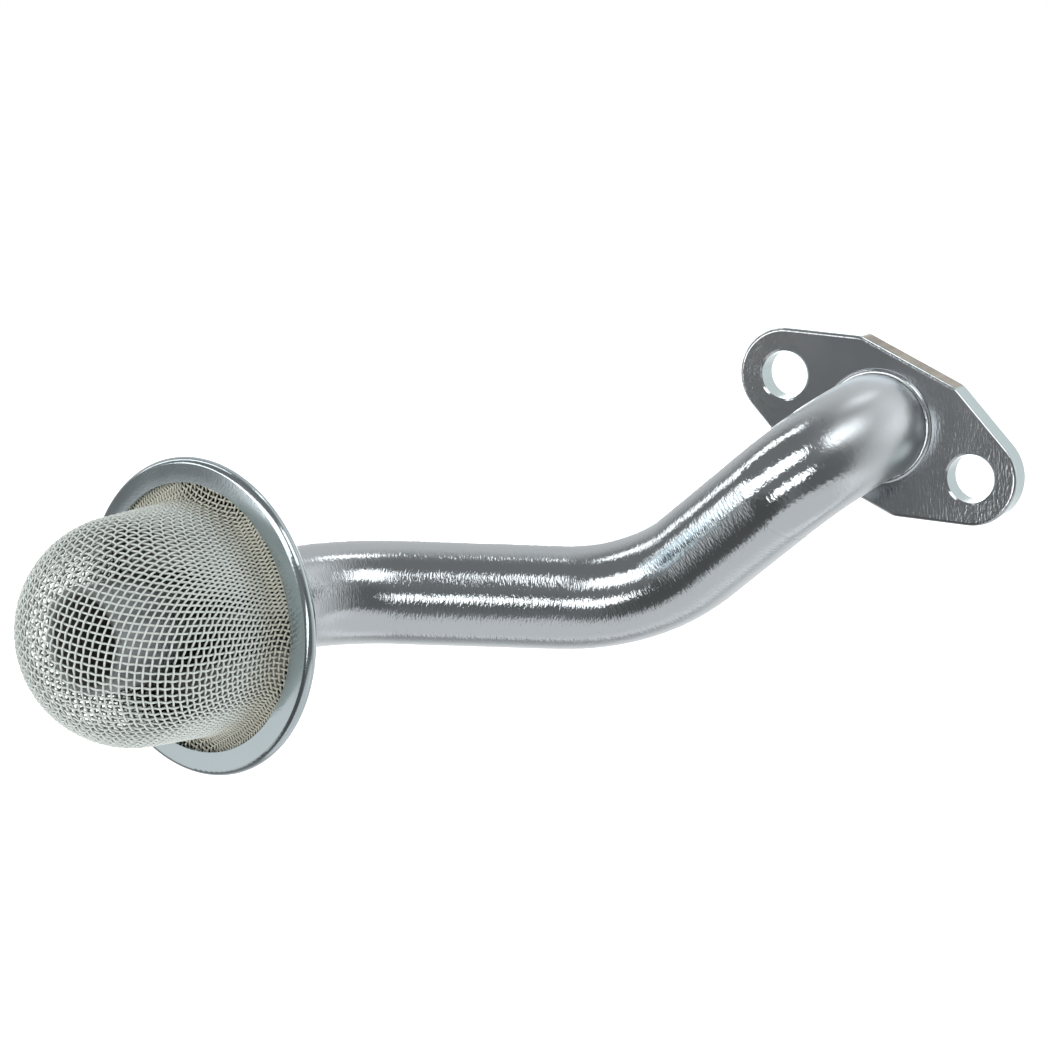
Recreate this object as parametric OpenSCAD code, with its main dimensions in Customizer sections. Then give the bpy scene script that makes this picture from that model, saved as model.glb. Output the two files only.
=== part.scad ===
// Oil pickup tube: a bent steel tube with a two-bolt flange at its outlet and a
// domed wire strainer, gripped in a hemmed plate, over its inlet.
// Frame: origin at the centre of the flange's mounting face, +Y out of that face, +Z up.
// All sizes are in millimetres and all angles in degrees.

/* [Tube] */
// Outside diameter of the tube
tube_od = 16; // [14:0.1:18]
// Wall thickness of the tube
tube_wall = 1.4; // [1:0.1:2]
// How much the tube's radius draws in along its bends
bend_draw = 0.02; // [0.01:0.01:0.1]
// Radial gap between the tube and each hole that it is brazed into
braze_gap = 0.05; // [0.02:0.01:0.1]
// Leg of the braze bead round the tube at the flange
flange_bead = 0.7; // [0.4:0.05:1.2]
// Leg of the braze bead round the tube at the back of the strainer plate
plate_bead = 1.1; // [0.4:0.05:1.6]

/* [Bends] */
// Direction of the first bend about the flange axis
first_roll_angle = -145.1; // [-180:0.1:180]
// Centreline radius of the first bend
bend1_r = 12.4; // [11:0.1:18]
// Angle of the first bend
bend1_angle = 99.9; // [70:0.1:110]
// Straight run between the first and second bends
run1 = 17.5; // [8:0.1:30]
// Roll of the second bend's plane from the first
roll12_angle = -132.2; // [-170:0.1:-90]
// Centreline radius of the second bend
bend2_r = 25; // [18:0.1:32]
// Angle of the second bend
bend2_angle = 53.2; // [30:0.1:70]
// Straight run between the second and third bends
run2 = 24.7; // [10:0.1:40]
// Roll of the third bend's plane from the second
roll23_angle = -55.7; // [-90:0.1:-20]
// Centreline radius of the third bend
bend3_r = 25; // [18:0.1:32]
// Angle of the third bend
bend3_angle = 48.2; // [30:0.1:70]
// Straight run from the third bend to the back of the strainer plate
neck_len = 14.3; // [6:0.1:30]
// Length of tube inside the strainer, from the back of the plate to the mouth
mouth_reach = 23.7; // [10:0.1:26]

/* [Flange] */
// Thickness of the flange plate
flange_t = 4.3; // [3:0.1:6]
// Distance between the two bolt holes
bolt_spacing = 32.7; // [30:0.1:40]
// Diameter of the bolt holes
bolt_hole_d = 7.3; // [6:0.1:8.5]
// Turn of the bolt line about the flange axis
bolt_turn_angle = -29.3; // [-90:0.1:90]
// Radius of the flange's round ends
lobe_r = 7.1; // [6:0.1:9]
// Width of the flange across its two flats
flange_w = 21.9; // [20.5:0.1:26]
// Length of each flat between its rounded corners
flat_len = 15.2; // [8:0.1:20]
// Radius of the corners at the ends of the flats
corner_r = 3.5; // [1.5:0.1:6]
// Radius of the rolled edge round the front of the flange
edge_r = 0.5; // [0.2:0.05:1]
// Chamfer round the front of each bolt hole
hole_chamfer = 0.3; // [0.1:0.05:0.6]

/* [Strainer plate] */
// Thickness of the sheet that the plate is pressed from
sheet_t = 0.9; // [0.6:0.05:1.4]
// Width of the lip that is folded over the edge of the mesh
lip_w = 3.65; // [3:0.05:6]
// Radius of the slightly domed front of the lip, in section
lip_dome_r = 18; // [12:0.5:19]
// Gap between the edge of the mesh and the fold of the hem
seam_gap = 0.2; // [0.1:0.05:0.5]

/* [Mesh dome] */
// Thickness of the woven mesh
mesh_t = 0.5; // [0.3:0.05:0.8]
// Radius of the dome's round nose over the ridges
nose_r = 17; // [15:0.1:20]
// Height of the dome from the back of the plate to the nose
dome_h = 31.4; // [28:0.1:36]
// Taper of the dome's side
side_taper = 2.7; // [0.5:0.1:6]
// Radius of the flare where the side turns out into the flat brim
root_r = 2; // [1:0.1:3]
// Width of flat brim that shows inside the lip
brim_show = 0.7; // [0.2:0.05:2]
// Distance from one row of gaps to the next
mesh_pitch = 4.9; // [4.85:0.05:7]
// Width of the ribs between the gaps
rib_w = 1.6; // [1:0.1:2.4]
// Height of the ridges above the mesh wall
ridge_h = 0.15; // [0.05:0.01:0.3]
// Radius of the ridges' round section
ridge_r = 0.3; // [0.2:0.05:0.4]

/* [Hidden] */
$fn = 96;
eps = 0.01;
// Length by which each straight run laps into a bend
lap = 0.05;

tube_r = tube_od / 2;
bore_r = tube_r - tube_wall;
seat_r = tube_r + braze_gap;
stub_len = flange_t + flange_bead;
// Each bend: roll about the tube, straight run before it, centreline radius, angle
BENDS = [
    [first_roll_angle, stub_len, bend1_r, bend1_angle],
    [roll12_angle, run1, bend2_r, bend2_angle],
    [roll23_angle, run2, bend3_r, bend3_angle]
];

// Round corners of the flange as [x, y, radius]
flat_x = flat_len / 2;
flat_y = flange_w / 2 - corner_r;
CORNERS = [
    [bolt_spacing / 2, 0, lobe_r],
    [flat_x, flat_y, corner_r],
    [-flat_x, flat_y, corner_r],
    [-bolt_spacing / 2, 0, lobe_r],
    [-flat_x, -flat_y, corner_r],
    [flat_x, -flat_y, corner_r]
];

// Strainer, measured along its axis from the back of the plate
hem_t = 2 * sheet_t + mesh_t;
brim_top = sheet_t + mesh_t;
nose_z = dome_h - nose_r;
wall_r = nose_r - ridge_h;
root_x = (wall_r + root_r + (nose_z - brim_top - root_r) * sin(side_taper)) / cos(side_taper);
root_z = brim_top + root_r;
lip_r = root_x + brim_show;
rim_r = lip_r + lip_w;
// The fold's round edge touches the back of the plate, the rim and the domed front of the lip
fold_b = 2 * lip_dome_r - hem_t - lip_w;
fold_c = lip_w * lip_w + hem_t * hem_t - 2 * lip_dome_r * hem_t;
fold_r = sqrt(fold_b * fold_b - fold_c) - fold_b;
hem_x = rim_r - fold_r;
lip_angle = atan((hem_x - lip_r) / (fold_r + lip_dome_r - hem_t));
lip_end = hem_x + fold_r * sin(lip_angle);
brim_r = hem_x - seam_gap;
gap_w = mesh_pitch - rib_w;
// Rows of gaps: by angle over the nose, and by height up the side
pitch_angle = mesh_pitch / wall_r * 180 / PI;
nose_rows = round((90 - side_taper) / pitch_angle - 0.5);
row_step = (90 - side_taper) / (nose_rows + 0.5);
side_len = nose_z - root_z;
side_rows = floor(side_len / mesh_pitch);
side_start = root_z + (side_len - side_rows * mesh_pitch) / 2;

function side_radius(z) = (wall_r + (nose_z - z) * sin(side_taper)) / cos(side_taper);

module ring_2d(outer, inner) {
    difference() {
        circle(outer);
        circle(inner);
    }
}

// Bent length of round rod that leaves the origin along +Z and curves towards +X
module elbow(bend_r, angle, rod_r) {
    translate([bend_r, 0, 0])
        rotate([90, 0, 180])
            rotate_extrude(angle = angle)
                translate([bend_r, 0])
                    circle(rod_r);
}

// Places children at the end of bend i, with +Z along the tube
module after_bend(i) {
    b = BENDS[i];
    rotate(b[0])
        translate([b[2] * (1 - cos(b[3])), 0, b[1] + b[2] * sin(b[3])])
            rotate([0, b[3], 0])
                children();
}

module at_flange() {
    rotate([90, 0, 0]) children();
}

module at_strainer() {
    at_flange()
        after_bend(0)
            after_bend(1)
                after_bend(2)
                    translate([0, 0, neck_len])
                        children();
}

// Straight run and bend i as a solid rod; the run laps into the bends at its ends
module run_and_bend(i, rod_r, before) {
    b = BENDS[i];
    translate([0, 0, -before])
        cylinder(r = rod_r, h = before + b[1] + lap);
    rotate(b[0])
        translate([0, 0, b[1]])
            elbow(b[2], b[3], rod_r - bend_draw);
}

// Whole route of the tube as a solid rod that runs past both ends by over
module route(rod_r, over) {
    at_flange() {
        run_and_bend(0, rod_r, over);
        after_bend(0) {
            run_and_bend(1, rod_r, lap);
            after_bend(1) run_and_bend(2, rod_r, lap);
        }
    }
    at_strainer()
        translate([0, 0, -neck_len - lap])
            cylinder(r = rod_r, h = lap + neck_len + mouth_reach + over);
}

module pickup_tube() {
    color("#c6cbd0")
        difference() {
            route(tube_r, 0);
            route(bore_r, eps);
        }
}

// Disc with a rolled front edge, which rounds one corner of the flange
module rolled_disc(disc_r) {
    cylinder(r = disc_r, h = flange_t - edge_r);
    translate([0, 0, flange_t - edge_r])
        rotate_extrude()
            translate([disc_r - edge_r, 0])
                circle(edge_r, $fn = 20);
}

module bolt_hole() {
    translate([0, 0, -eps])
        cylinder(d = bolt_hole_d, h = flange_t + 2 * eps);
    translate([0, 0, flange_t - hole_chamfer])
        cylinder(
            h = hole_chamfer + eps,
            d1 = bolt_hole_d,
            d2 = bolt_hole_d + 2 * (hole_chamfer + eps)
        );
}

module flange() {
    color("#83878b")
        at_flange()
            rotate(bolt_turn_angle)
                difference() {
                    hull()
                        for (c = CORNERS)
                            translate([c.x, c.y, 0])
                                rolled_disc(c.z);
                    translate([0, 0, -eps])
                        cylinder(r = seat_r, h = flange_t + 2 * eps);
                    for (side = [-1, 1])
                        translate([side * bolt_spacing / 2, 0, 0])
                            bolt_hole();
                }
}

// Round bead that fills the corner between the tube and a plate
module braze_bead(leg) {
    rotate_extrude()
        translate([seat_r, 0])
            intersection() {
                circle(leg);
                square(leg);
            }
}

module flange_braze() {
    color("#dde1e3")
        at_flange()
            translate([0, 0, flange_t])
                braze_bead(flange_bead);
}

module plate_braze() {
    color("#dde1e3")
        at_strainer()
            mirror([0, 0, 1])
                braze_bead(plate_bead);
}

// Round plate whose edge is hemmed forward over the brim of the mesh
module strainer_plate() {
    color("#b5bec2")
        at_strainer()
            rotate_extrude() {
                translate([seat_r, 0])
                    square([hem_x - seat_r, sheet_t]);
                intersection() {
                    translate([lip_r, brim_top])
                        square([lip_end - lip_r, sheet_t]);
                    translate([lip_r, hem_t - lip_dome_r])
                        circle(lip_dome_r);
                }
                difference() {
                    intersection() {
                        translate([hem_x, fold_r])
                            circle(fold_r);
                        translate([hem_x, 0])
                            square([hem_t, hem_t]);
                    }
                    translate([hem_x, hem_t / 2])
                        circle(mesh_t / 2);
                }
            }
}

// Half section of the dome: nose, tapered side, flared root and flat brim
module dome_2d() {
    out = [cos(side_taper), sin(side_taper)];
    reach = 2 * wall_r;
    nose_c = [0, nose_z];
    root_c = [root_x, root_z];
    intersection() {
        translate(nose_c) ring_2d(wall_r, wall_r - mesh_t);
        polygon([nose_c, nose_c + reach * out, nose_c + [reach, reach], nose_c + [0, reach]]);
    }
    polygon([
        nose_c + wall_r * out,
        nose_c + (wall_r - mesh_t) * out,
        root_c - (root_r + mesh_t) * out,
        root_c - root_r * out
    ]);
    intersection() {
        translate(root_c) ring_2d(root_r + mesh_t, root_r);
        polygon([root_c, root_c - reach * out, root_c - [reach, reach], root_c - [0, reach]]);
    }
    translate([root_x, sheet_t])
        square([brim_r - root_x, mesh_t]);
}

// Ring ridges between the rows of gaps, like the crowns of the weft wires
module ridges_2d() {
    sunk = ridge_r - ridge_h;
    for (i = [0 : nose_rows]) {
        angle = side_taper + i * row_step;
        translate([0, nose_z])
            rotate(angle)
                translate([wall_r - sunk, 0])
                    circle(ridge_r);
    }
    for (i = [0 : side_rows - 1]) {
        z = side_start + i * mesh_pitch;
        translate([side_radius(z) - sunk, z])
            circle(ridge_r);
    }
}

// One square gap, cut outward from the axis at the origin
module gap(from, to) {
    translate([from, -gap_w / 2, -gap_w / 2])
        cube([to - from, gap_w, gap_w]);
}

module gaps() {
    near = wall_r - gap_w;
    far = rim_r;
    for (i = [0 : nose_rows - 1]) {
        angle = side_taper + (i + 0.5) * row_step;
        count = floor(360 * cos(angle) / pitch_angle);
        for (k = [0 : count - 1])
            translate([0, 0, nose_z])
                rotate([0, -angle, (k + i / 2) * 360 / count])
                    gap(near, far);
    }
    for (i = [0 : side_rows - 1]) {
        z = side_start + (i + 0.5) * mesh_pitch;
        count = floor(2 * PI * side_radius(z) / mesh_pitch);
        for (k = [0 : count - 1])
            translate([0, 0, z])
                rotate((k + i / 2) * 360 / count)
                    gap(near, far);
    }
    translate([0, 0, nose_z])
        rotate([0, -90, 0])
            gap(near, far);
}

module strainer_mesh() {
    color("#c3cac4")
        at_strainer()
            difference() {
                rotate_extrude() {
                    dome_2d();
                    ridges_2d();
                }
                gaps();
            }
}

pickup_tube();
flange();
flange_braze();
strainer_plate();
plate_braze();
strainer_mesh();
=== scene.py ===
import math

import bpy
import numpy as np
from mathutils import Matrix, Vector


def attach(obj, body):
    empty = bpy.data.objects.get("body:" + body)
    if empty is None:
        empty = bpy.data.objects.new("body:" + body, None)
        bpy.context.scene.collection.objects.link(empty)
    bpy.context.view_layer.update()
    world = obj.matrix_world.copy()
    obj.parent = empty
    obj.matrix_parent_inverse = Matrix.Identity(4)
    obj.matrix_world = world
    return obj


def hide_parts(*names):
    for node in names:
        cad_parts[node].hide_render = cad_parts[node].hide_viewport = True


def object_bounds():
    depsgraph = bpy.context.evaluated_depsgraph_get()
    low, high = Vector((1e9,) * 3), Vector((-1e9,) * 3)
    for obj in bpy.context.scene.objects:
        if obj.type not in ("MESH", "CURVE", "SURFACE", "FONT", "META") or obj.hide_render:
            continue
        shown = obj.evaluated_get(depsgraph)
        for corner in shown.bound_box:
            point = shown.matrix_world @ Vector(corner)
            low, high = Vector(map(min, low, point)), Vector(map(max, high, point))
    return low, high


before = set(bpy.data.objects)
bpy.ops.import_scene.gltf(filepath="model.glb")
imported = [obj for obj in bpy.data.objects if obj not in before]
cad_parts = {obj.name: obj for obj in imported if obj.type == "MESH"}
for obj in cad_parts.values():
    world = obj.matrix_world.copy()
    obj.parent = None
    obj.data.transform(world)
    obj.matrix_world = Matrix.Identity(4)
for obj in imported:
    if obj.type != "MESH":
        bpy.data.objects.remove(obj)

CAD_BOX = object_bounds()
MM = 0.001

# Tube route, from the flange: before each bend its roll (degrees) and a straight run, then the radius of
# its centreline and its angle (degrees)
BENDS = (
    (-145.1, 5.0, 12.4, 99.9),
    (-132.2, 17.5, 25.0, 53.2),
    (-55.7, 24.7, 25.0, 48.2),
)
NECK_LEN = 14.3
MOUTH_REACH = 23.7
TUBE_R = 8.0
# Radius that parts the bore from the outside
BORE_LIMIT = 7.3
# How near the tube's radius a point of its outside lies, and the weight of lying past the end of a stretch
SKIN = 0.3
END_WEIGHT = 10
# Depth of the zone at the tube's ends, and how alike two normals there are if the point is on the outside
END_ZONE = 0.05
ALIKE = 0.8
# Least distance from the centreline, so that nothing is divided by nought
TINY = 1e-6

# Middle surface of the woven dome, measured from the back of the plate
NOSE_R = 16.7
NOSE_Z = 14.4
SIDE_TAPER = math.radians(2.7)
ROOT_X = 19.39
ROOT_Z = 3.4
ROOT_R = 2.15
BRIM_R = 22.3

# Wire cloth: the two pitches at the nose, how much tighter they are at the brim and where along the
# profile they close up, the closest that two crossings come across a cell, and the cloth laid past the
# brim at first
WIRE_D = 0.3
PITCHES = (1.10, 1.17)
TIGHTER = 0.28
TIGHT_FROM = 22.0
TIGHT_TO = 38.0
CLOSEST = 0.6
SPARE = 3.0
WEAVE_TURN = math.radians(-8.5)
# Search for each crossing: rounds, the longest step in one round, and the least usable determinant
SEARCH_ROUNDS = 12
SEARCH_STEP = 0.3
LEAST_DET = 1e-9
# Relaxing: rounds, and the share of a misfit by which one round moves each of the two crossings
RELAX_ROUNDS = 1000
PITCH_SHARE = 0.2
APART_SHARE = 0.3
# Drawn wire: rings from one crossing to the next and sides of its section, which is a little wider than the
# round wire so that its area is the same
RINGS = 3
SIDES = 6
WIDER = 1.1
WIRE_RADIUS = WIRE_D / 2 * WIDER


# Route of the tube

def turn(angle, axis):
    return Matrix.Rotation(math.radians(angle), 4, axis)


def route():
    """Each run and bend as frame, roll so far, radius, angle and length, and the strainer's frame."""
    # The tube leaves the flange along -Y
    here = turn(90, "X")
    rolled = 0.0
    stretches = []
    for roll, run, radius, angle in BENDS:
        stretches.append((here.copy(), rolled, 0.0, 0.0, run))
        here = here @ turn(roll, "Z") @ Matrix.Translation((0, 0, run))
        rolled += math.radians(roll)
        a = math.radians(angle)
        stretches.append((here.copy(), rolled, radius, a, radius * a))
        here = here @ Matrix.Translation((radius * (1 - math.cos(a)), 0, radius * math.sin(a)))
        here = here @ turn(angle, "Y")
    stretches.append((here.copy(), rolled, 0.0, 0.0, NECK_LEN + MOUTH_REACH))
    return stretches, here @ Matrix.Translation((0, 0, NECK_LEN))


ROUTE, STRAINER = route()
TUBE_LEN = sum(stretch[-1] for stretch in ROUTE)


def seen_from_route(points):
    """For each stretch: its frame, its roll, and the points as seen along and across it."""
    start = 0.0
    for place, rolled, radius, angle, length in ROUTE:
        back = np.array(place.inverted())
        x, side, z = (points @ back[:3, :3].T + back[:3, 3]).T
        if angle:
            turned = np.arctan2(z, radius - x)
            along = radius * turned
            across = radius - np.hypot(z, radius - x)
        else:
            turned = np.zeros(len(points))
            along = z
            across = x
        beyond = END_WEIGHT * np.maximum(0, np.maximum(-along, along - length))
        yield place, rolled, start + along, turned, across, side, beyond
        start += length


def tube_marks(points, own):
    """Each point's place on a tube laid straight along Z, one if it is in the bore, and its smooth normal.

    The faces across the tube's ends and in its bore keep their own normals.
    """
    flat = np.zeros((len(points), 3))
    smooth = own.copy()
    flat_off = np.full(len(points), np.inf)
    smooth_off = np.full(len(points), np.inf)
    depth = np.full(len(points), np.inf)
    for place, rolled, along, turned, across, side, beyond in seen_from_route(points):
        reach = np.hypot(across, side)
        depth = np.minimum(depth, reach + beyond)
        off = np.abs(reach - TUBE_R) + beyond
        polar = np.arctan2(side, across) + rolled
        spot = np.stack([TUBE_R * np.cos(polar), TUBE_R * np.sin(polar), along], axis=1)
        near = off < flat_off
        flat_off[near] = off[near]
        flat[near] = spot[near]
        away = np.stack([across * np.cos(turned), side, -across * np.sin(turned)], axis=1)
        way = away / np.maximum(reach, TINY)[:, None] @ np.array(place)[:3, :3].T
        at_end = (points[:, 1] > -END_ZONE) | (along > TUBE_LEN - END_ZONE)
        outside = (off < SKIN) & (((way * own).sum(1) > ALIKE) | ~at_end)
        near = (off < smooth_off) & outside
        smooth_off[near] = off[near]
        smooth[near] = way[near]
    return flat, np.where(depth < BORE_LIMIT, 1.0, 0.0), smooth


# Woven dome

OUT_R = math.cos(SIDE_TAPER)
OUT_Z = math.sin(SIDE_TAPER)
SIDE_START = (NOSE_R * OUT_R, NOSE_Z + NOSE_R * OUT_Z)
SIDE_END = (ROOT_X - ROOT_R * OUT_R, ROOT_Z - ROOT_R * OUT_Z)
QUARTER = math.pi / 2 - SIDE_TAPER
NOSE_LEN = NOSE_R * QUARTER
SIDE_LEN = NOSE_LEN + math.dist(SIDE_START, SIDE_END)
ROOT_LEN = SIDE_LEN + ROOT_R * QUARTER
CLOTH_LEN = ROOT_LEN + BRIM_R - ROOT_X


def profile(s):
    """Radius, height and outward normal of the cloth's profile at arc length s from the nose."""
    nose = s / NOSE_R
    down = s - NOSE_LEN
    root = math.pi + SIDE_TAPER + (s - SIDE_LEN) / ROOT_R
    where = [s < NOSE_LEN, s < SIDE_LEN, s < ROOT_LEN]
    one = np.ones_like(s)
    radius = np.select(
        where,
        [NOSE_R * np.sin(nose), SIDE_START[0] + down * OUT_Z, ROOT_X + ROOT_R * np.cos(root)],
        ROOT_X + s - ROOT_LEN,
    )
    height = np.select(
        where,
        [NOSE_Z + NOSE_R * np.cos(nose), SIDE_START[1] - down * OUT_R, ROOT_Z + ROOT_R * np.sin(root)],
        ROOT_Z - ROOT_R,
    )
    normal_r = np.select(where, [np.sin(nose), OUT_R * one, -np.cos(root)], 0.0)
    normal_z = np.select(where, [np.cos(nose), OUT_Z * one, -np.sin(root)], 1.0)
    return radius, height, normal_r, normal_z


def on_cloth(s, angle):
    """Points and outward normals of the cloth, in the strainer's frame."""
    radius, height, normal_r, normal_z = profile(s)
    c = np.cos(angle)
    q = np.sin(angle)
    points = np.stack([radius * c, radius * q, height], axis=-1)
    normals = np.stack([normal_r * c, normal_r * q, normal_z], axis=-1)
    return points, normals


def nearest_on_cloth(points):
    """Arc length and angle of the nearest point of the cloth."""
    radius = np.hypot(points[..., 0], points[..., 1])
    height = points[..., 2]
    nose = NOSE_R * np.arctan2(radius, height - NOSE_Z)
    side = NOSE_LEN + (radius - SIDE_START[0]) * OUT_Z - (height - SIDE_START[1]) * OUT_R
    root_angle = np.arctan2(ROOT_Z - height, ROOT_X - radius) - SIDE_TAPER
    root = SIDE_LEN + ROOT_R * root_angle
    brim = ROOT_LEN + radius - ROOT_X
    s = np.select([nose < NOSE_LEN, side < SIDE_LEN, radius < ROOT_X], [nose, side, root], brim)
    return s, np.arctan2(points[..., 1], points[..., 0])


def tightness(s):
    """How far the pitch has closed up at arc length s, as a factor."""
    t = np.clip((s - TIGHT_FROM) / (TIGHT_TO - TIGHT_FROM), 0, 1)
    return 1 - TIGHTER * t * t * (3 - 2 * t)


def step_to(a, b, step_a, step_b, guess):
    """Point of the cloth at the two given distances from a and b, by Newton's method from a guess."""
    s, angle = nearest_on_cloth(guess)
    for _ in range(SEARCH_ROUNDS):
        p, n = on_cloth(s, angle)
        c = np.cos(angle)
        q = np.sin(angle)
        down = np.stack([n[:, 2] * c, n[:, 2] * q, -(n[:, 0] * c + n[:, 1] * q)], axis=-1)
        around = np.stack([-q, c, 0 * c], axis=-1)
        from_a = p - a
        from_b = p - b
        miss_a = (from_a**2).sum(1) - step_a**2
        miss_b = (from_b**2).sum(1) - step_b**2
        m11 = 2 * (from_a * down).sum(1)
        m12 = 2 * (from_a * around).sum(1)
        m21 = 2 * (from_b * down).sum(1)
        m22 = 2 * (from_b * around).sum(1)
        det = m11 * m22 - m12 * m21
        det = np.where(np.abs(det) < LEAST_DET, np.nan, det)
        move_s = (m12 * miss_b - m22 * miss_a) / det
        move_angle = (m21 * miss_a - m11 * miss_b) / det
        s = s + np.clip(move_s, -SEARCH_STEP, SEARCH_STEP)
        angle = angle + np.clip(move_angle, -SEARCH_STEP, SEARCH_STEP) / np.hypot(p[:, 0], p[:, 1])
    return s, angle


def drape_quadrant():
    """A net laid from the nose: two wires run straight down the dome and the rest follow from them."""
    reach = CLOTH_LEN + SPARE
    count = int(reach / min(PITCHES) / (1 - TIGHTER)) + 1
    s = np.full((count, count), np.nan)
    angle = np.full((count, count), np.nan)
    s[0, 0] = 0.0
    for k in range(1, count):
        s[k, 0] = s[k - 1, 0] + PITCHES[0] * tightness(s[k - 1, 0])
        s[0, k] = s[0, k - 1] + PITCHES[1] * tightness(s[0, k - 1])
    s[s > reach] = np.nan
    angle[:, 0] = 0.0
    angle[0, :] = math.pi / 2
    for diagonal in range(2, 2 * count - 1):
        i = np.arange(max(1, diagonal - count + 1), min(diagonal, count))
        j = diagonal - i
        a = on_cloth(s[i - 1, j], angle[i - 1, j])[0]
        b = on_cloth(s[i, j - 1], angle[i, j - 1])[0]
        d = on_cloth(s[i - 1, j - 1], angle[i - 1, j - 1])[0]
        step_a = PITCHES[0] * tightness(s[i - 1, j])
        step_b = PITCHES[1] * tightness(s[i, j - 1])
        new_s, new_angle = step_to(a, b, step_a, step_b, a + b - d)
        inside = (new_s > 0) & (new_s <= reach)
        s[i, j] = np.where(inside, new_s, np.nan)
        angle[i, j] = np.where(inside, new_angle, np.nan)
    return s, angle


def drape():
    """Net over the whole dome as a square grid of points; corners that fall off the brim are NaN."""
    s, angle = drape_quadrant()
    count = len(s)
    grid = np.full((2 * count - 1, 2 * count - 1, 3), np.nan)
    middle = count - 1
    i, j = np.meshgrid(np.arange(count), np.arange(count), indexing="ij")
    points = on_cloth(s, angle)[0]
    for x in (1, -1):
        for y in (1, -1):
            grid[middle + x * i, middle + y * j] = points * np.array([x, y, 1])
    return grid


def relax(grid):
    """Wires keep their pitch, and crossings that face each other over a cell stay apart, as if locked."""
    size = grid.shape[0]
    pairs = ((1, 0, PITCHES[0]), (0, 1, PITCHES[1]), (1, 1, None), (1, -1, None))
    for _ in range(RELAX_ROUNDS):
        push = np.zeros_like(grid)
        close = tightness(nearest_on_cloth(grid)[0])
        for di, dj, pitch in pairs:
            first = max(0, -dj)
            last = size - max(0, dj)
            one = (slice(0, size - di), slice(first, last))
            two = (slice(di, size), slice(first + dj, last + dj))
            gap = grid[two] - grid[one]
            length = np.sqrt((gap**2).sum(-1))
            if pitch is None:
                pull = APART_SHARE * np.minimum(length - CLOSEST, 0) / length
            else:
                pull = PITCH_SHARE * (length - pitch * close[one]) / length
            move = np.nan_to_num(gap * pull[..., None])
            push[one] += move
            push[two] -= move
        s, angle = nearest_on_cloth(grid + push)
        grid = on_cloth(s, angle)[0]
    grid[np.hypot(grid[..., 0], grid[..., 1]) > BRIM_R] = np.nan
    return grid


def wire_runs(valid):
    """Start and end of each unbroken run of nodes in a row."""
    edges = np.flatnonzero(np.diff(np.concatenate([[0], valid.astype(int), [0]])))
    return [(a, b) for a, b in zip(edges[::2], edges[1::2]) if b - a > 1]


def wire_line(nodes, normals, sides):
    """Centre line of one crimped wire, a smooth curve over one crossing and under the next.

    Returns its points, the cloth's normals there and the wire's heights over the middle of the cloth.
    """
    before = np.concatenate([2 * nodes[:1] - nodes[1:2], nodes[:-2]])
    after = np.concatenate([nodes[2:], 2 * nodes[-1:] - nodes[-2:-1]])
    points = []
    ups = []
    lifts = []
    for ring in range(RINGS):
        x = ring / RINGS
        # Weights of the four nearest crossings in a Catmull-Rom curve
        h1 = -0.5 * x + x**2 - 0.5 * x**3
        h2 = 1 - 2.5 * x**2 + 1.5 * x**3
        h3 = 0.5 * x + 2 * x**2 - 1.5 * x**3
        h4 = -0.5 * x**2 + 0.5 * x**3
        base = h1 * before + h2 * nodes[:-1] + h3 * nodes[1:] + h4 * after
        up = (1 - x) * normals[:-1] + x * normals[1:]
        up /= np.linalg.norm(up, axis=1)[:, None]
        lift = sides[:-1] * math.cos(math.pi * x) * WIRE_D / 2
        points.append(base + up * lift[:, None])
        ups.append(up)
        lifts.append(lift)
    end = sides[-1] * WIRE_D / 2
    last = nodes[-1] + normals[-1] * end
    return (
        np.concatenate([np.stack(points, axis=1).reshape(-1, 3), last[None]]),
        np.concatenate([np.stack(ups, axis=1).reshape(-1, 3), normals[-1:]]),
        np.append(np.stack(lifts, axis=1).ravel(), end),
    )


def sweep(points, ups, lifts, verts, rises, faces):
    """Adds a closed round wire along the points, with each corner's height over the middle of the cloth."""
    tangent = np.gradient(points, axis=0)
    tangent /= np.linalg.norm(tangent, axis=1)[:, None]
    side = np.cross(tangent, ups)
    side /= np.linalg.norm(side, axis=1)[:, None]
    up = np.cross(side, tangent)
    polar = np.arange(SIDES) * 2 * math.pi / SIDES
    ring = np.cos(polar)[None, :, None] * up[:, None] + np.sin(polar)[None, :, None] * side[:, None]
    first = sum(len(v) for v in verts)
    verts.append((points[:, None] + ring * WIRE_RADIUS).reshape(-1, 3))
    rises.append((lifts[:, None] + np.cos(polar)[None] * WIRE_RADIUS).ravel())
    last = first + (len(points) - 1) * SIDES
    row, k = np.meshgrid(np.arange(first, last, SIDES), np.arange(SIDES), indexing="ij")
    after = (k + 1) % SIDES
    quads = np.stack([row + SIDES + k, row + SIDES + after, row + after, row + k], axis=-1)
    faces.extend(quads.reshape(-1, 4).tolist())
    faces.append([first + x for x in range(SIDES)])
    faces.append([last + x for x in reversed(range(SIDES))])


def mark(mesh, name, values):
    """Stores one number or one vector for each point of a mesh."""
    values = values.astype(np.float32)
    if values.ndim == 1:
        mesh.attributes.new(name, "FLOAT", "POINT").data.foreach_set("value", values)
    else:
        mesh.attributes.new(name, "FLOAT_VECTOR", "POINT").data.foreach_set("vector", values.ravel())


def mesh_piece(name, verts, faces, material):
    """Smooth-shaded piece that belongs to the root body."""
    mesh = bpy.data.meshes.new(name)
    mesh.from_pydata(verts.tolist(), [], faces)
    mesh.validate()
    mesh.polygons.foreach_set("use_smooth", [True] * len(mesh.polygons))
    mesh.materials.append(material)
    piece = bpy.data.objects.new(name, mesh)
    bpy.context.scene.collection.objects.link(piece)
    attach(piece, "root")
    return piece


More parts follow.
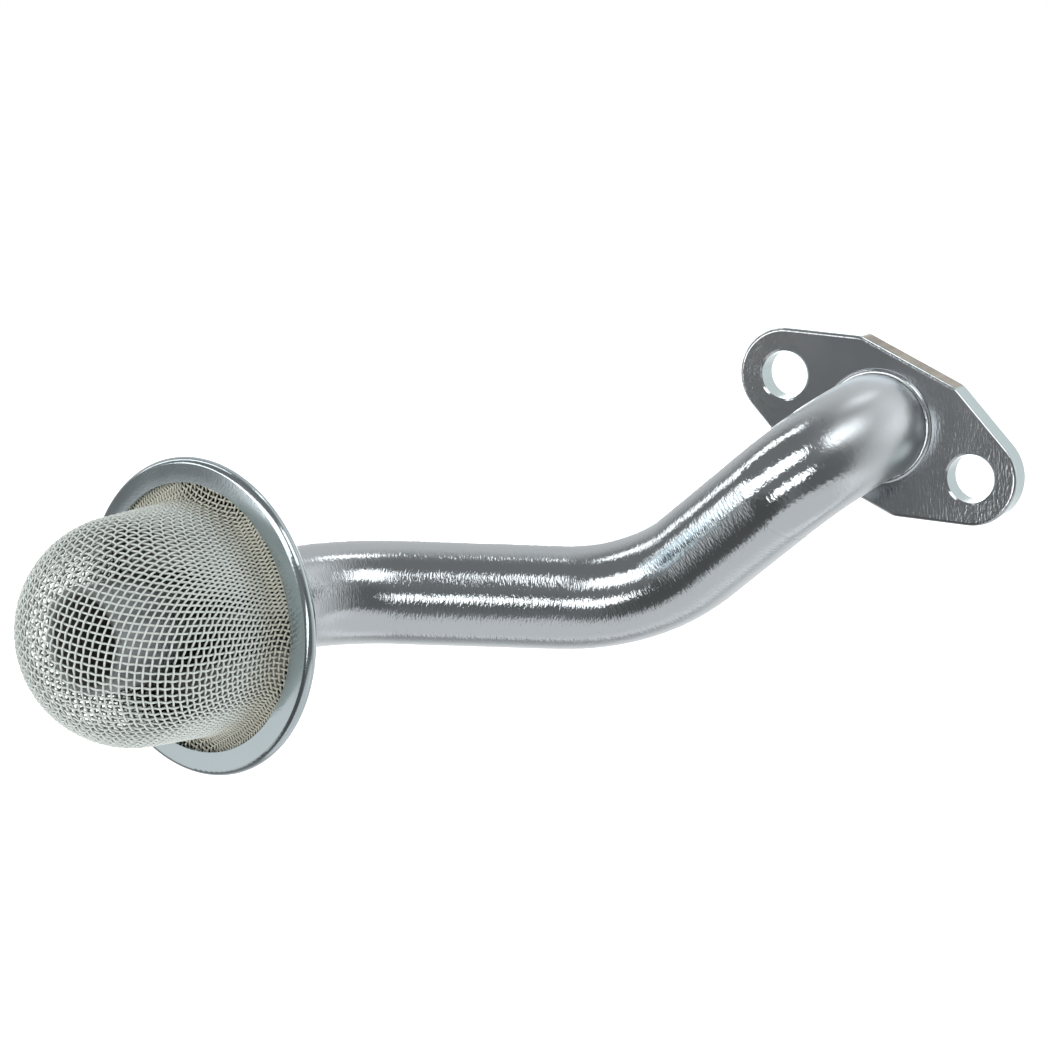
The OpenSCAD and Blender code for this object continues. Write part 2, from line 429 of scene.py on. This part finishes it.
def weave(material):
    """Warp and weft of the dome as two pieces, laced over and under each other."""
    grid = relax(drape())
    s, angle = nearest_on_cloth(grid)
    normals = on_cloth(s, angle)[1]
    size = grid.shape[0]
    spin = np.array(Matrix.Rotation(WEAVE_TURN, 3, "Z"))
    place = np.array(STRAINER)
    i, j = np.meshgrid(np.arange(size), np.arange(size), indexing="ij")
    over = np.where((i + j) % 2 == 0, 1.0, -1.0)
    for name, flip in (("warp_wires", False), ("weft_wires", True)):
        points = grid.transpose(1, 0, 2) if flip else grid
        ups = normals.transpose(1, 0, 2) if flip else normals
        sides = -over.T if flip else over
        verts = []
        rises = []
        faces = []
        for row in range(size):
            for a, b in wire_runs(np.isfinite(points[row, :, 0])):
                line, up, lifts = wire_line(points[row, a:b], ups[row, a:b], sides[row, a:b])
                sweep(line, up, lifts, verts, rises, faces)
        local = np.concatenate(verts) @ spin.T
        world = (local @ place[:3, :3].T + place[:3, 3]) * MM
        piece = mesh_piece(name, world, faces, material)
        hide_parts("strainer_mesh")
        mark(piece.data, "rise", np.concatenate(rises))


# Materials: colours are linear red, green and blue; a pair of colours is blended by a noise

class Nodes:
    """Small helper that adds nodes to a material and links them."""

    def __init__(self, name):
        self.material = bpy.data.materials.new(name)
        self.material.use_nodes = True
        self.tree = self.material.node_tree
        self.shader = self.tree.nodes["Principled BSDF"]

    def feed(self, socket, value):
        """Links an output to a socket, or sets the socket to a constant."""
        if isinstance(value, bpy.types.NodeSocket):
            self.tree.links.new(value, socket)
        else:
            socket.default_value = value

    def add(self, kind, inputs=(), **settings):
        node = self.tree.nodes.new(kind)
        for key, value in settings.items():
            setattr(node, key, value)
        for key, value in dict(inputs).items():
            self.feed(node.inputs[key], value)
        return node

    def set(self, **values):
        for key, value in values.items():
            self.feed(self.shader.inputs[key.replace("_", " ")], value)

    def place(self):
        return self.add("ShaderNodeTexCoord").outputs["Object"]

    def attribute(self, name, output):
        return self.add("ShaderNodeAttribute", attribute_name=name).outputs[output]

    def split(self, vector):
        return self.add("ShaderNodeSeparateXYZ", {"Vector": vector}).outputs

    def math(self, operation, *values, clamp=False):
        made = self.add("ShaderNodeMath", enumerate(values), operation=operation, use_clamp=clamp)
        return made.outputs["Value"]

    def vector(self, operation, *values):
        made = self.add("ShaderNodeVectorMath", enumerate(values), operation=operation)
        return made.outputs["Value" if operation in ("DOT_PRODUCT", "LENGTH") else "Vector"]

    def in_strainer(self, place):
        """Splits a place into the strainer's own X, Y and Z."""
        local = self.add("ShaderNodeMapping", {"Vector": place}, vector_type="TEXTURE")
        local.inputs["Location"].default_value = STRAINER.translation * MM
        local.inputs["Rotation"].default_value = STRAINER.to_euler()
        return self.split(local.outputs["Vector"])

    def noise(self, vector, scale, detail=2.0):
        made = self.add("ShaderNodeTexNoise", {"Vector": vector, "Scale": scale, "Detail": detail})
        return made.outputs["Fac"]

    def ramp(self, value, span, result):
        """Goes from the first to the second result as the value crosses the span."""
        inputs = {"From Min": span[0], "From Max": span[1], "To Min": result[0], "To Max": result[1]}
        return self.add("ShaderNodeMapRange", {"Value": value, **inputs}).outputs["Result"]

    def ramp_mm(self, value, span, result):
        """The same for a value in metres and a span in millimetres."""
        return self.ramp(value, (span[0] * MM, span[1] * MM), result)

    def blend(self, factor, one, two):
        made = self.add("ShaderNodeMix", data_type="RGBA")
        self.feed(made.inputs["Factor"], factor)
        # The colour sockets share their names with others of this node, so they go by number
        for socket, value in ((made.inputs[6], one), (made.inputs[7], two)):
            self.feed(socket, value if isinstance(value, bpy.types.NodeSocket) else (*value, 1))
        return made.outputs[2]

    def bump(self, height, strength, depth, normal=None):
        """Bump of the given depth in millimetres, on top of another normal if there is one."""
        inputs = {"Height": height, "Strength": strength, "Distance": depth * MM}
        if normal is not None:
            inputs["Normal"] = normal
        return self.add("ShaderNodeBump", inputs).outputs["Normal"]


# Span in which nearly all of a noise lies
NOISE_SPAN = (0.3, 0.7)
ON_OFF = (0.0, 1.0)
FADE_IN = (0.0, 1.0)
FADE_OUT = (1.0, 0.0)

# Tube: the grain is drawn out round the tube, the satin end turns bright, and the mouth under the dome is
# darkened with painted shade from the cloth
TUBE_ZINC = ((0.49, 0.53, 0.555), (0.54, 0.575, 0.595))
TUBE_SATIN = (0.61, 0.65, 0.67)
# Painted shade of the cloth on the tube's end under the dome
TUBE_DOME_SHADE = (0.25, 0.265, 0.27)
TUBE_BORE = (0.12, 0.115, 0.11)
TUBE_ROUGHNESS = (0.07, 0.12)
SATIN_ROUGHNESS = 0.26
BORE_METALLIC = 0.3
DOME_SHADE_SHARE = 0.45
SATIN_ZONE = (15.0, 19.5)
DOME_SHADE_ZONE = (129.0, 130.0)
GRAIN_STRETCH = (0.38, 0.38, 1.0)
SATIN_SMOOTHS = (0.2, 1.0)
SMOOTHED_GRAIN = (1.0, 0.3)


def tube_zinc():
    m = Nodes("tube_zinc")
    flat = m.attribute("unbent", "Vector")
    bore = m.attribute("bore", "Fac")
    along = m.split(flat)["Z"]
    grain = m.noise(m.vector("MULTIPLY", flat, GRAIN_STRETCH), scale=3.2)
    swell = m.noise(flat, scale=0.16, detail=1.0)
    tint = m.noise(m.place(), scale=60.0, detail=3.0)
    satin = m.ramp(along, SATIN_ZONE, FADE_OUT)
    frosted = m.blend(satin, m.blend(tint, *TUBE_ZINC), TUBE_SATIN)
    # Painted shade: past the plate, the tube darkens as if the cloth shaded it
    dome_shaded = m.blend(m.ramp(along, DOME_SHADE_ZONE, (0.0, DOME_SHADE_SHARE)), frosted, TUBE_DOME_SHADE)
    m.set(Metallic=m.ramp(bore, ON_OFF, (1.0, BORE_METALLIC)))
    m.set(Base_Color=m.blend(bore, dome_shaded, TUBE_BORE))
    shine = m.ramp(grain, NOISE_SPAN, TUBE_ROUGHNESS)
    m.set(Roughness=m.math("MAXIMUM", m.math("MULTIPLY_ADD", satin, SATIN_ROUGHNESS, shine), bore))
    rolling = m.bump(swell, strength=0.2, depth=0.4, normal=m.attribute("round", "Vector"))
    grainy = m.ramp(satin, SATIN_SMOOTHS, SMOOTHED_GRAIN)
    m.set(Normal=m.bump(grain, strength=grainy, depth=0.05, normal=rolling))
    return m.material


# Flange: brushed faces with grainier ends, a painted pale sheen on the sides, and an olive cut along the
# long upper flat
FLANGE_MIDDLE = ((0.45, 0.485, 0.515), (0.56, 0.585, 0.605))
FLANGE_LOBE = ((0.44, 0.47, 0.495), (0.58, 0.60, 0.615))
# Painted pale sheen of the flange's sides
FLANGE_PAINTED_SHEEN = (0.62, 0.74, 0.755)
FLANGE_OLIVE = ((0.22, 0.19, 0.135), (0.44, 0.40, 0.32))
FLANGE_ROUGHNESS = (0.13, 0.19)
BRUSH_STRETCH = (1.0, 1.0, 0.3)
# Direction that the long upper flat faces, and direction from one bolt hole to the other
BOLT_TURN = math.radians(29.3)
LONG_FLAT = (math.sin(BOLT_TURN), 0.0, math.cos(BOLT_TURN))
LONG_WAY = (LONG_FLAT[2], 0.0, -LONG_FLAT[0])
# Distances from the middle: along the bolts to the ends, and across them to the long flat
LOBE_ZONE = (10.0, 20.0)
FLAT_ZONE = (9.5, 10.5)
# Cosines: of a side's normal to the faces' normal, and of the long flat's normal to its own direction
SIDE_SPAN = (0.2, 0.6)
FLAT_SPAN = (0.97, 0.995)
PATCH_SPAN = (0.35, 0.65)
# Strength of the grain: from patch to patch on the ends, and from the middle to the ends
PATCH_GRAIN = (0.4, 1.0)
FACE_GRAIN = (0.4, 1.0)


def flange_zinc():
    m = Nodes("flange_zinc")
    coords = m.add("ShaderNodeTexCoord").outputs
    place = coords["Object"]
    facing = coords["Normal"]
    grain = m.noise(m.vector("MULTIPLY", place, BRUSH_STRETCH), scale=3200.0)
    patch = m.noise(place, scale=90.0, detail=4.0)
    lobe = m.ramp_mm(m.math("ABSOLUTE", m.vector("DOT_PRODUCT", place, LONG_WAY)), LOBE_ZONE, FADE_IN)
    face = m.blend(lobe, m.blend(patch, *FLANGE_MIDDLE), m.blend(patch, *FLANGE_LOBE))
    turned = m.ramp(m.vector("DOT_PRODUCT", facing, LONG_FLAT), FLAT_SPAN, FADE_IN)
    outside = m.ramp_mm(m.vector("DOT_PRODUCT", place, LONG_FLAT), FLAT_ZONE, FADE_IN)
    dashes = m.noise(m.vector("MULTIPLY", place, LONG_WAY), scale=400.0, detail=3.0)
    olive = m.blend(m.ramp(dashes, PATCH_SPAN, FADE_IN), *FLANGE_OLIVE)
    # The sides get a painted pale sheen, while the cut along the long flat keeps its own olive colour
    side_sheen_and_olive = m.blend(m.math("MULTIPLY", turned, outside), FLANGE_PAINTED_SHEEN, olive)
    side = m.ramp(m.math("ABSOLUTE", m.split(facing)["Y"]), SIDE_SPAN, FADE_OUT)
    m.set(Metallic=1.0)
    m.set(Base_Color=m.blend(side, face, side_sheen_and_olive))
    m.set(Roughness=m.ramp(patch, NOISE_SPAN, FLANGE_ROUGHNESS))
    worn = m.math("MULTIPLY", lobe, m.ramp(patch, PATCH_SPAN, PATCH_GRAIN))
    m.set(Normal=m.bump(grain, strength=m.ramp(worn, ON_OFF, FACE_GRAIN), depth=0.05))
    return m.material


# Strainer plate: bluish zinc; the sheet inside the lip, between two heights, lies in the shade of the cloth
PLATE_ZINC = ((0.45, 0.515, 0.54), (0.52, 0.585, 0.61))
PLATE_SHADE = (0.20, 0.195, 0.175)
PLATE_ROUGHNESS = (0.10, 0.18)
LIP_INNER = (20.1, 20.4)
SHADE_BOTTOM = (0.7, 0.8)
SHADE_TOP = (1.4, 1.5)


def plate_zinc():
    m = Nodes("plate_zinc")
    place = m.place()
    grain = m.noise(place, scale=2400.0)
    patch = m.noise(place, scale=110.0, detail=3.0)
    apart = m.in_strainer(place)
    flat = m.add("ShaderNodeCombineXYZ", {"X": apart["X"], "Y": apart["Y"]}).outputs["Vector"]
    inside = m.ramp_mm(m.vector("LENGTH", flat), LIP_INNER, FADE_OUT)
    above = m.ramp_mm(apart["Z"], SHADE_BOTTOM, FADE_IN)
    below = m.ramp_mm(apart["Z"], SHADE_TOP, FADE_OUT)
    shade = m.math("MULTIPLY", inside, m.math("MULTIPLY", above, below))
    m.set(Metallic=1.0)
    m.set(Base_Color=m.blend(shade, m.blend(patch, *PLATE_ZINC), PLATE_SHADE))
    m.set(Roughness=m.ramp(patch, NOISE_SPAN, PLATE_ROUGHNESS))
    m.set(Normal=m.bump(grain, strength=0.6, depth=0.02))
    return m.material


# Braze beads
BRAZE_ZINC = ((0.50, 0.55, 0.58), (0.62, 0.65, 0.66))
BRAZE_ROUGHNESS = (0.16, 0.28)


def braze():
    m = Nodes("braze")
    ripple = m.noise(m.place(), scale=700.0)
    m.set(Metallic=1.0)
    m.set(Base_Color=m.blend(ripple, *BRAZE_ZINC))
    m.set(Roughness=m.ramp(ripple, NOISE_SPAN, BRAZE_ROUGHNESS))
    m.set(Normal=m.bump(ripple, strength=0.5, depth=0.08))
    return m.material


# Wire: silver that turns cream near the brim, with painted shade on the undersides that reaches higher up
# the wires there
WIRE_SILVER = ((0.72, 0.78, 0.76), (0.81, 0.845, 0.81))
WIRE_CREAM = (0.76, 0.73, 0.61)
# Colour of the painted shade on the wires' undersides
WIRE_PAINTED_SHADE = (0.07, 0.07, 0.063)
WIRE_ROUGHNESS = (0.50, 0.62)
WIRE_METALLIC = 0.6
CREAM_ZONE = (2.0, 8.0)
CREAM_SHARE = 0.65
BRIM_SHADE_ZONE = (3.0, 8.0)
BRIM_SHADE_SHARE = 0.95
UNDERSIDE_SHADE_SPAN = (-0.16, 0.06)
UNDERSIDE_SHADE_SHARE = 0.4
BRIM_SHADE_SPAN = (-0.06, 0.16)


def mesh_wire():
    m = Nodes("mesh_wire")
    place = m.place()
    patch = m.noise(place, scale=150.0, detail=3.0)
    grain = m.noise(place, scale=5000.0)
    height = m.in_strainer(place)["Z"]
    rise = m.attribute("rise", "Fac")
    cream = m.ramp_mm(height, CREAM_ZONE, (CREAM_SHARE, 0.0))
    wire = m.blend(cream, m.blend(patch, *WIRE_SILVER), WIRE_CREAM)
    # Painted shade: the undersides darken, and near the brim more of each wire darkens
    under = m.ramp(rise, UNDERSIDE_SHADE_SPAN, (UNDERSIDE_SHADE_SHARE, 0.0))
    brim_shade = m.ramp(rise, BRIM_SHADE_SPAN, FADE_OUT)
    brim = m.ramp_mm(height, BRIM_SHADE_ZONE, (BRIM_SHADE_SHARE, 0.0))
    painted_shade = m.math("MULTIPLY_ADD", brim_shade, brim, under, clamp=True)
    m.set(Metallic=WIRE_METALLIC)
    m.set(Base_Color=m.blend(painted_shade, wire, WIRE_PAINTED_SHADE))
    m.set(Roughness=m.ramp(grain, NOISE_SPAN, WIRE_ROUGHNESS))
    m.set(Normal=m.bump(grain, strength=0.3, depth=0.01))
    return m.material


def own_normals(mesh):
    """One normal for each point of a mesh, from the corners that meet there."""
    own = np.zeros((len(mesh.vertices), 3))
    corners = np.zeros(len(mesh.loops), dtype=int)
    mesh.loops.foreach_get("vertex_index", corners)
    facing = np.zeros(len(mesh.loops) * 3)
    mesh.corner_normals.foreach_get("vector", facing)
    own[corners] = facing.reshape(-1, 3)
    return own


def dress():
    """Materials of the solids that keep their own form, and the marks that the tube's material reads."""
    looks = {
        "pickup_tube": tube_zinc(),
        "flange": flange_zinc(),
        "flange_braze": braze(),
        "strainer_plate": plate_zinc(),
    }
    looks["plate_braze"] = looks["flange_braze"]
    for name, material in looks.items():
        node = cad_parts[name]
        node.data.materials.clear()
        node.data.materials.append(material)
    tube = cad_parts["pickup_tube"].data
    spots = np.zeros(len(tube.vertices) * 3)
    tube.vertices.foreach_get("co", spots)
    flat, bore, smooth = tube_marks(spots.reshape(-1, 3) / MM, own_normals(tube))
    mark(tube, "unbent", flat)
    mark(tube, "bore", bore)
    mark(tube, "round", smooth)


# Studio

def toward(azimuth, elevation):
    """Unit vector: azimuth 0 is -Y and 90 is +X, elevation is above the horizon, in degrees."""
    a = math.radians(azimuth)
    e = math.radians(elevation)
    return Vector((math.sin(a) * math.cos(e), -math.cos(a) * math.cos(e), math.sin(e)))


SOFTBOXES = (
    # name, one end, other end (azimuth, elevation), width in degrees, brightness
    ("strip_over", (-89, 16), (-73, 68), 9, 2.4),
    ("strip_back", (146, 80), (152, 60), 7, 2.6),
    ("strip_left", (-67, 13), (-46, 11), 8, 2.4),
    ("strip_front", (-51, 1), (8, 34), 21, 2.4),
    ("strip_low", (-11, -16), (26, -1), 12, 2.9),
    ("strip_right", (32, 38), (76, 42), 24, 2.3),
)
# Distance of the softboxes (m)
LIGHT_DISTANCE = 1.2

# Grey room, and the patches of it that are paler or darker
ROOM_GREY = 0.25
GLOWS = (
    # direction, cosine at the edge, cosine where it is full, brightness
    ((0.0, 1.0, 0.15), 0.05, 0.7, 0.5),
    ((0.38, -0.12, -0.92), 0.76, 0.84, 0.6),
    ((0.78, 0.28, 0.45), 0.80, 0.95, 0.3),
    (toward(-62, -26), 0.90, 0.97, 0.72),
    (toward(-52, -2), 0.985, 0.999, 0.55),
    ((-0.25, 0.62, -0.74), 0.72, 0.92, 0.2),
    (toward(112, -10), 0.70, 0.97, 0.42),
    (toward(50, -12), 0.80, 0.94, -0.07),
    (toward(-158, 0), 0.94, 0.985, 2.4),
    (toward(-24, -36), 0.84, 0.97, -0.13),
)

# Floor: how far it lies below the object and half its width (m), and its finish
FLOOR_DROP = 0.03
FLOOR_HALF = 4.0
FLOOR_COLOUR = (0.9, 0.9, 0.9, 1)
FLOOR_ROUGHNESS = 0.8
FLOOR_GLOW = 0.75
WHITE = (1, 1, 1, 1)

# Camera of the photograph: place (m) and directions, focal length in pixels of the photograph's frame
CAMERA_PLACE = Vector((0.186151, -0.520526, 0.062433))
CAMERA_FORWARD = Vector((-0.42499, 0.89521, -0.13409))
CAMERA_UP = Vector((0.0, 0.14813, 0.98897))
SENSOR = 36.0
FOCAL_PIXELS = 3679.11
FRAME_PIXELS = 1051
CLIP_START = 0.01
CLIP_END = 20


def placed(centre, x, y, z):
    """Matrix of an object at a centre with the three given axes."""
    return Matrix.Translation(centre) @ Matrix((x, y, z)).transposed().to_4x4()


def softbox(name, one, two, width, brightness):
    """Area light between two directions that faces the object and looks equally bright all over."""
    start = toward(*one) * LIGHT_DISTANCE
    end = toward(*two) * LIGHT_DISTANCE
    centre = (start + end) / 2
    along = (end - start).normalized()
    back = (centre - along * centre.dot(along)).normalized()
    light = bpy.data.lights.new(name, "AREA")
    light.shape = "RECTANGLE"
    light.size = (end - start).length
    light.size_y = 2 * centre.length * math.tan(math.radians(width / 2))
    light.energy = brightness * math.pi * light.size * light.size_y
    lamp = bpy.data.objects.new(name, light)
    lamp.matrix_world = placed(centre, along, back.cross(along), back)
    lamp.visible_camera = False
    bpy.context.scene.collection.objects.link(lamp)


def sky():
    """Grey room with its glows round the object, and plain white to the camera."""
    world = bpy.data.worlds.new("studio")
    bpy.context.scene.world = world
    world.use_nodes = True
    nodes = world.node_tree.nodes
    link = world.node_tree.links.new
    direction = nodes.new("ShaderNodeTexCoord").outputs["Generated"]

    def glow(axis, edge, full, brightness):
        dot = nodes.new("ShaderNodeVectorMath")
        dot.operation = "DOT_PRODUCT"
        link(direction, dot.inputs[0])
        dot.inputs[1].default_value = Vector(axis).normalized()
        fade = nodes.new("ShaderNodeMapRange")
        fade.interpolation_type = "SMOOTHSTEP"
        link(dot.outputs["Value"], fade.inputs["Value"])
        fade.inputs["From Min"].default_value = edge
        fade.inputs["From Max"].default_value = full
        fade.inputs["To Max"].default_value = brightness
        return fade.outputs["Result"]

    total = None
    for row in GLOWS:
        add = nodes.new("ShaderNodeMath")
        add.operation = "ADD"
        link(glow(*row), add.inputs[0])
        if total is None:
            add.inputs[1].default_value = ROOM_GREY
        else:
            link(total, add.inputs[1])
        total = add.outputs[0]
    room = nodes["Background"]
    link(total, room.inputs["Color"])
    white = nodes.new("ShaderNodeBackground")
    white.inputs["Color"].default_value = WHITE
    mix = nodes.new("ShaderNodeMixShader")
    link(nodes.new("ShaderNodeLightPath").outputs["Is Camera Ray"], mix.inputs["Fac"])
    link(room.outputs[0], mix.inputs[1])
    link(white.outputs[0], mix.inputs[2])
    link(mix.outputs[0], nodes["World Output"].inputs["Surface"])


def floor():
    """Plain pale floor under the object."""
    low = CAD_BOX[0].z - FLOOR_DROP
    mesh = bpy.data.meshes.new("floor")
    around = ((-1, -1), (1, -1), (1, 1), (-1, 1))
    corners = [(x * FLOOR_HALF, y * FLOOR_HALF, low) for x, y in around]
    mesh.from_pydata(corners, [], [(0, 1, 2, 3)])
    m = Nodes("floor_white")
    m.set(Base_Color=FLOOR_COLOUR, Roughness=FLOOR_ROUGHNESS)
    m.set(Emission_Color=WHITE, Emission_Strength=FLOOR_GLOW)
    mesh.materials.append(m.material)
    plane = bpy.data.objects.new("floor", mesh)
    bpy.context.scene.collection.objects.link(plane)
    plane.visible_glossy = False


def camera():
    data = bpy.data.cameras.new("camera")
    data.sensor_width = SENSOR
    data.lens = FOCAL_PIXELS / FRAME_PIXELS * SENSOR
    data.clip_start = CLIP_START
    data.clip_end = CLIP_END
    view = bpy.data.objects.new("camera", data)
    forward = CAMERA_FORWARD.normalized()
    right = forward.cross(CAMERA_UP).normalized()
    view.matrix_world = placed(CAMERA_PLACE, right, right.cross(forward), -forward)
    bpy.context.scene.collection.objects.link(view)
    bpy.context.scene.camera = view


camera()
dress()
weave(mesh_wire())
sky()
for box in SOFTBOXES:
    softbox(*box)
floor()
bpy.context.scene.view_settings.view_transform = "Standard"
